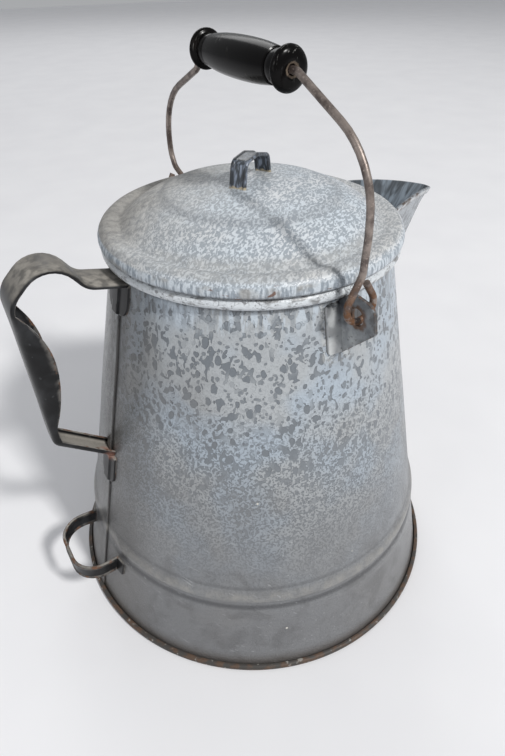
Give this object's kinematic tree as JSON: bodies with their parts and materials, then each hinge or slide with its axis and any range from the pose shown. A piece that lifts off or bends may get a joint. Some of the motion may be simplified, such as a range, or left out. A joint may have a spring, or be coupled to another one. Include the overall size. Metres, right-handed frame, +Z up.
{
  "type": "coffee boiler",
  "caption": "Large enamelled coffee boiler with a V spout, a lift-off lid, a wire bail with a turned grip, a strap handle and a tipping handle.",
  "frame": {"origin": "centre of the base, on the surface the pot stands on", "axes": "+X to the spout, -X to the strap handle and tipping handle, Y along the line through the two bail ears, +Z up"},
  "size_m": [0.3248, 0.3002, 0.3838],
  "materials": {
    "body_enamel": "grey mottled vitreous enamel on sheet steel, worn gloss",
    "lid_enamel": "grey mottled vitreous enamel on sheet steel, dusty",
    "spout_enamel": "grey mottled vitreous enamel on sheet steel, worn gloss",
    "chime_enamel": "dark enamel chipped to rust along the chime",
    "fitting_enamel": "grey enamel, rusty at the edges",
    "handle_enamel": "dark grey enamel, dusty, rusty at the edges",
    "bail_steel": "dull steel wire, rusted at the hooks",
    "plain_steel": "plain steel wire, hidden inside the rolled rim",
    "grip_wood": "turned hardwood in worn gloss black"
  },
  "bodies": {
    "pot": {"body_shell": "body_enamel", "rim_wire": "plain_steel", "bottom_pan": "chime_enamel", "spout": "spout_enamel", "ear_front": "fitting_enamel", "ear_back": "fitting_enamel", "handle_strap": "handle_enamel", "tipping_handle": "handle_enamel"},
    "lid": {"lid_cover": "lid_enamel", "lid_collar": "lid_enamel", "lid_knob": "fitting_enamel"},
    "bail": {"bail_wire": "bail_steel"},
    "grip": {"bail_grip": "grip_wood"}
  },
  "joints": [
    {"name": "bail_swing", "type": "hinge", "parent": "pot", "child": "bail", "pos_m": [0, 0, 0.27], "axis": [0, 1, 0], "range_deg": [-57, 63]},
    {"name": "grip_spin", "type": "hinge", "parent": "bail", "child": "grip", "pos_m": [-0.00535, -0.002, 0.37216], "axis": [0, 1, 0], "continuous": true},
    {"name": "lid_lift", "type": "slide", "parent": "pot", "child": "lid", "axis": [0, 0, 1], "range_m": [0, 0.018]}
  ]
}
